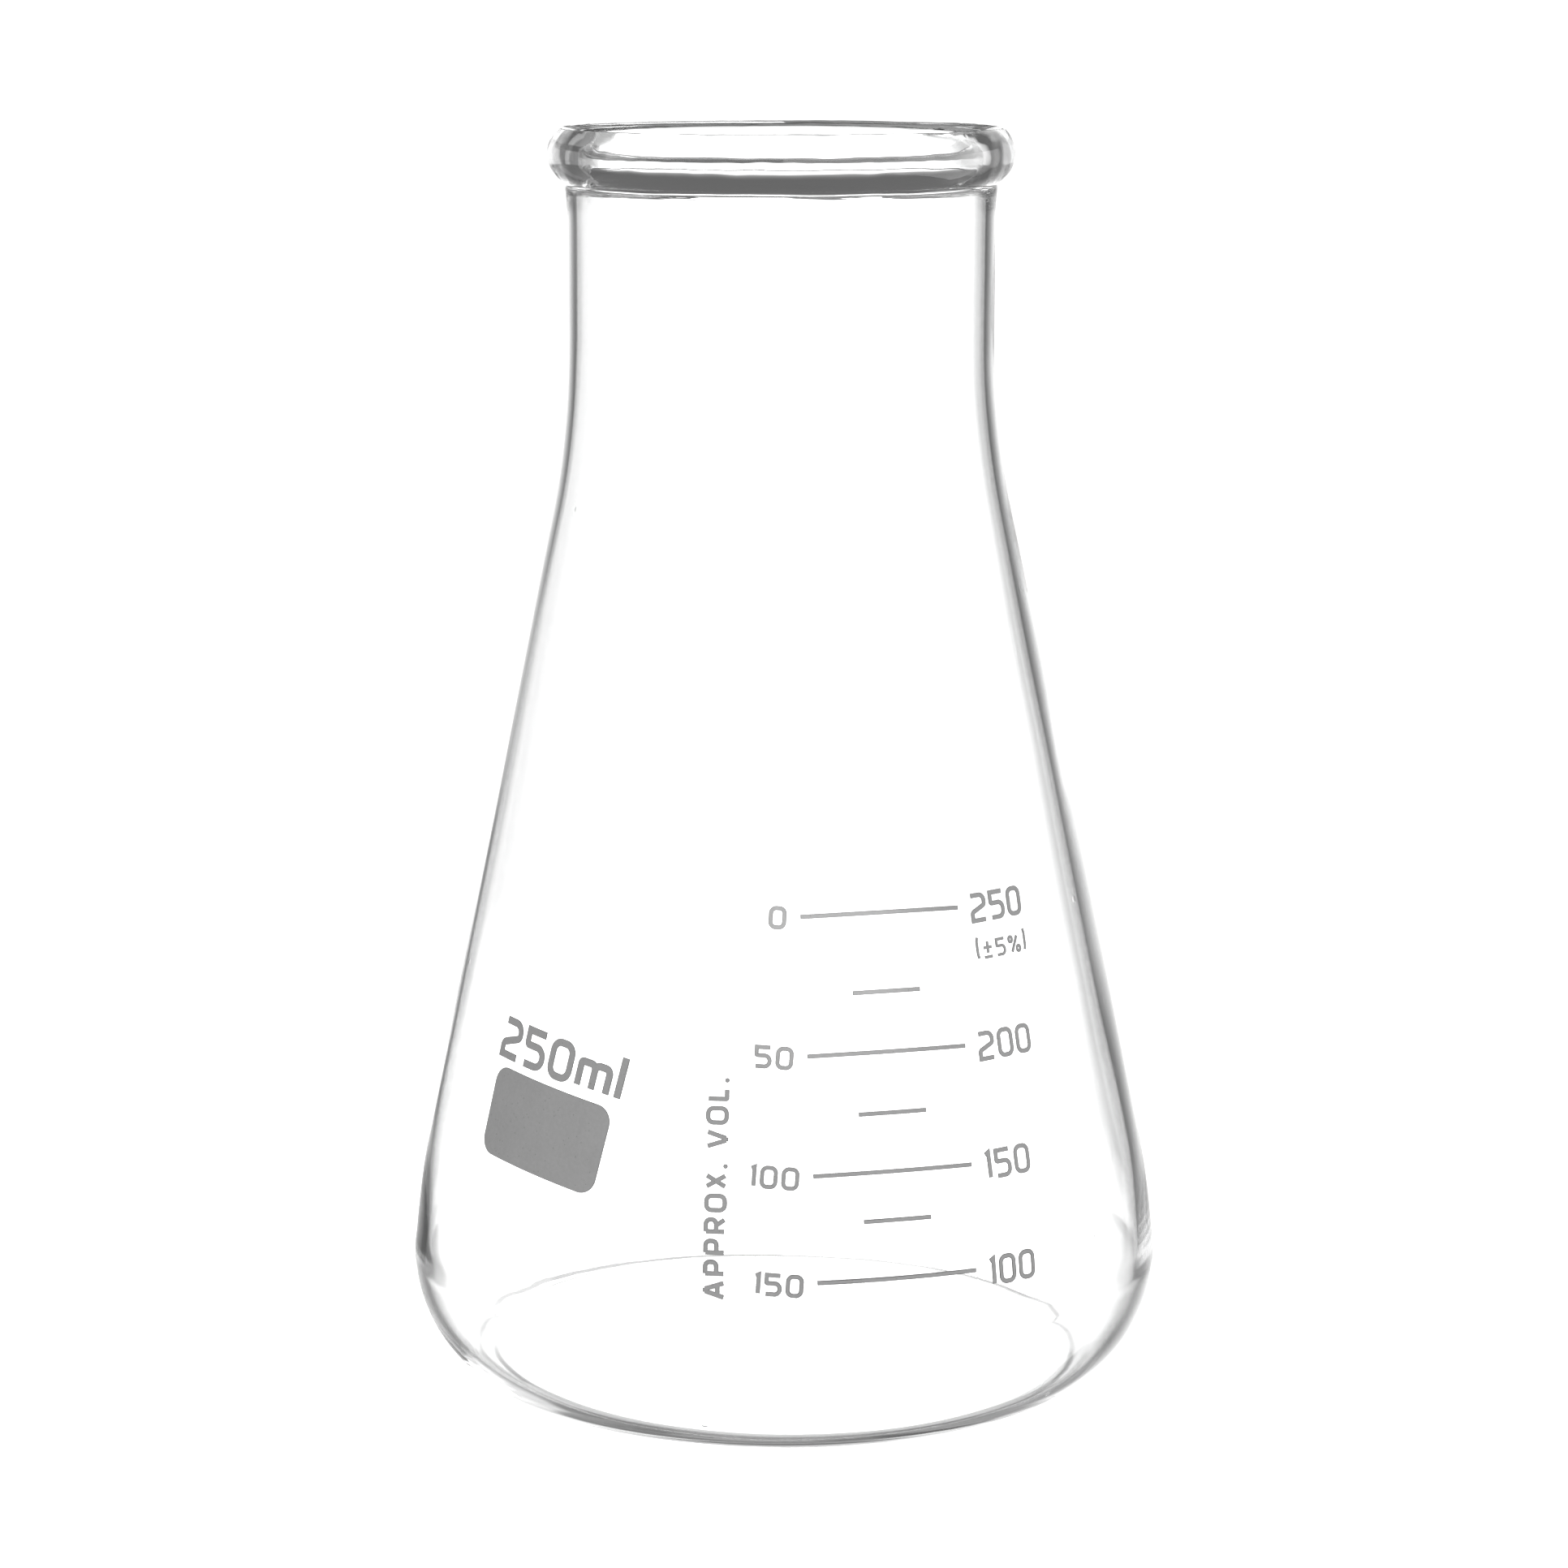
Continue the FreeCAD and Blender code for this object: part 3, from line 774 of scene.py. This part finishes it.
def felt_tone(nodes, bearing, height, settings):
    """Brightness of the room that light bent by the glass comes from.

    Angles are in degrees: the bearing runs from straight behind the flask to the right,
    and the height from level upwards.
    """
    bright, dark = settings.backdrop_tone, settings.dark_tone
    left = [
        (-60.0, dark), (-57.0, 0.35), (-44.0, 0.25), (-41.5, 0.5), (-36.0, 0.4), (-34.0, 0.1),
        (-31.0, 0.1), (-29.0, 0.18), (-27.0, 0.3), (-25.0, 0.38), (-23.0, 0.46), (-21.0, 0.52),
        (-19.0, 0.62), (-17.0, 0.78), (-15.5, 0.95), (-14.0, bright),
    ]
    right = [
        (10.5, bright), (12.5, 1.0), (14.0, 0.85), (17.0, 0.66), (19.0, 0.58), (22.0, 0.46),
        (24.0, 0.37), (26.0, 0.28), (28.0, 0.21), (31.0, 0.13), (36.0, 0.06), (43.0, 0.06),
        (48.0, 0.8), (56.0, 1.5), (60.0, 2.0),
    ]
    levels = [
        (-60.0, 0.0), (-33.0, 0.0), (-31.0, 1.0), (7.0, 1.0), (8.3, 0.24), (10.5, 0.12),
        (14.0, 0.07), (60.0, 0.0),
    ]
    below = [
        (-90.0, 0.4), (-62.0, 0.35), (-57.0, 0.2), (-47.0, 0.2), (-44.0, 0.27), (-41.0, 0.85),
        (-33.0, 1.0), (-30.0, 0.0), (0.0, 0.0),
    ]
    heel_swing = height.step(-13.0, -18.0) * bearing.step(8.0, 16.0) * 5.0
    cone_dip = height.within(-12.5, -6.5, 1.0) * bearing.step(-16.0, -19.0) * 0.6
    across = nodes.curve(bearing - heel_swing, left + right)
    backdrop = across * nodes.curve(height, levels) * (1 - cone_dip)
    low_pane = bearing.within(-14.0, 10.0, 1.0) * height.within(-30.0, -11.0, 2.0) * 1.6
    left_pane = bearing.within(-105.0, -75.0, 0.5) * height.within(-27.0, 14.0, 1.0)
    right_pane = bearing.within(60.0, 165.0, 0.5) * height.within(-40.0, 7.0, 1.0) * 1.4
    panes = low_pane.larger(left_pane).larger(right_pane) * bright
    middle = bearing.within(-26.0, 20.0, 4.0)
    beside = (1 - middle) * height.step(-29.0, -33.0) * 0.33
    under = nodes.curve(height, below) * middle + beside
    return backdrop.larger(panes).larger(under).larger(dark)


def floor_object(settings):
    """Pale floor. The glass is lit by the room alone, so only the camera meets the floor."""
    radius = 6.0
    mesh = bpy.data.meshes.new("stage_floor")
    bm = bmesh.new()
    bmesh.ops.create_circle(bm, cap_ends=True, segments=96, radius=radius)
    bm.to_mesh(mesh)
    bm.free()
    material = bpy.data.materials.new("pale_floor")
    nodes = Nodes(material)
    inputs = {"Color": grey(1.0), "Strength": settings.floor_tone}
    nodes.surface(nodes.add("ShaderNodeEmission", None, inputs)[0])
    mesh.materials.append(material)
    floor = bpy.data.objects.new("stage_floor", mesh)
    floor.visible_transmission = False
    floor.visible_glossy = False
    floor.visible_diffuse = False
    floor.visible_shadow = False
    return floor


def room(settings):
    """Pale to the camera; to the glass, bright windows in a dim room."""
    world = bpy.data.worlds.new("studio")
    nodes = Nodes(world)
    x, y, z = nodes.split(nodes.add("ShaderNodeTexCoord")[0])
    bearing = x.math("ARCTAN2", y) * math.degrees(1.0)
    height = z.math("ARCSINE") * math.degrees(1.0)
    felt = felt_tone(nodes, bearing, height, settings)
    rays = nodes.add("ShaderNodeLightPath")
    seen, spread = rays[0], rays[2]  # by the camera, and by the matt enamel
    tone = seen * settings.floor_tone + spread * settings.soft_tone + (1 - seen - spread) * felt
    shader = nodes.add("ShaderNodeBackground", None, {"Color": grey(1.0), "Strength": tone})[0]
    nodes.surface(shader, "ShaderNodeOutputWorld")
    return world


def soft_lamp(name, settings, share, place):
    """Large soft lamp aimed at the print; the glass shows no image of it."""
    target, width = Vector((0, 0, 50 * MM)), 0.8
    data = bpy.data.lights.new(name, "AREA")
    data.shape = "DISK"
    data.size = width
    data.energy = settings.lamp_power * share
    lamp = bpy.data.objects.new(name, data)
    lamp.location = place
    lamp.rotation_mode = "QUATERNION"
    lamp.rotation_quaternion = (target - Vector(place)).to_track_quat("-Z", "Y")
    lamp.visible_glossy = False
    lamp.visible_transmission = False
    lamp.visible_camera = False
    return lamp


def product_camera(settings):
    """Camera in front of the flask, looking down a little, with nothing out of focus."""
    data = bpy.data.cameras.new("camera")
    data.lens = settings.lens
    data.sensor_width = 36.0
    data.dof.use_dof = False
    data.clip_start, data.clip_end = 0.01, 20.0
    camera = bpy.data.objects.new("camera", data)
    camera.location = (0.0, -settings.camera_distance, settings.camera_height)
    camera.rotation_euler = (math.pi / 2 - settings.camera_pitch, 0.0, 0.0)
    return camera


class FLASK_OT_stage(Operator):
    """Set the pale floor, the surroundings, the soft light and the camera"""

    bl_idname = "flask.stage"
    bl_label = "Stage"

    def execute(self, context):
        scene = context.scene
        settings = scene.flask_stage
        floor = floor_object(settings)
        lamps = [
            soft_lamp("stage_key", settings, 1.0, (-0.5, -1.0, 0.9)),
            soft_lamp("stage_fill", settings, 0.5, (0.9, -0.6, 0.6)),
            soft_lamp("stage_back", settings, 0.5, (0.4, 1.1, 0.9)),
        ]
        camera = product_camera(settings)
        for item in (floor, *lamps, camera):
            scene.collection.objects.link(item)
        scene.world = room(settings)
        scene.camera = camera
        scene.cycles.max_bounces = LIGHT_TURNS
        scene.cycles.glossy_bounces = LIGHT_TURNS
        scene.cycles.transmission_bounces = LIGHT_TURNS
        scene.view_settings.view_transform = "Standard"
        scene.view_settings.look = "None"
        return {"FINISHED"}


class FLASK_PT_panel(Panel):
    """Buttons and settings of the flask"""

    bl_idname = "FLASK_PT_panel"
    bl_label = "Flask"
    bl_space_type = "VIEW_3D"
    bl_region_type = "UI"
    bl_category = "Flask"

    def draw(self, context):
        groups = (
            ("flask.glass", context.scene.flask_glass),
            ("flask.enamel", context.scene.flask_enamel),
            ("flask.stage", context.scene.flask_stage),
        )
        for operator, settings in groups:
            box = self.layout.box()
            box.operator(operator)
            for name in settings.bl_rna.properties.keys():
                if name not in ("rna_type", "name"):
                    box.prop(settings, name)


CLASSES = (
    FlaskGlassSettings,
    FlaskEnamelSettings,
    FlaskStageSettings,
    FLASK_OT_glass,
    FLASK_OT_enamel,
    FLASK_OT_stage,
    FLASK_PT_panel,
)


def register():
    for cls in CLASSES:
        bpy.utils.register_class(cls)
    bpy.types.Scene.flask_glass = PointerProperty(type=FlaskGlassSettings)
    bpy.types.Scene.flask_enamel = PointerProperty(type=FlaskEnamelSettings)
    bpy.types.Scene.flask_stage = PointerProperty(type=FlaskStageSettings)


def unregister():
    del bpy.types.Scene.flask_stage
    del bpy.types.Scene.flask_enamel
    del bpy.types.Scene.flask_glass
    for cls in reversed(CLASSES):
        bpy.utils.unregister_class(cls)


def main():
    """Builds the flask's looks and its stage."""
    register()
    bpy.ops.flask.glass()
    bpy.ops.flask.enamel()
    bpy.ops.flask.stage()


if __name__ == "__main__":
    main()
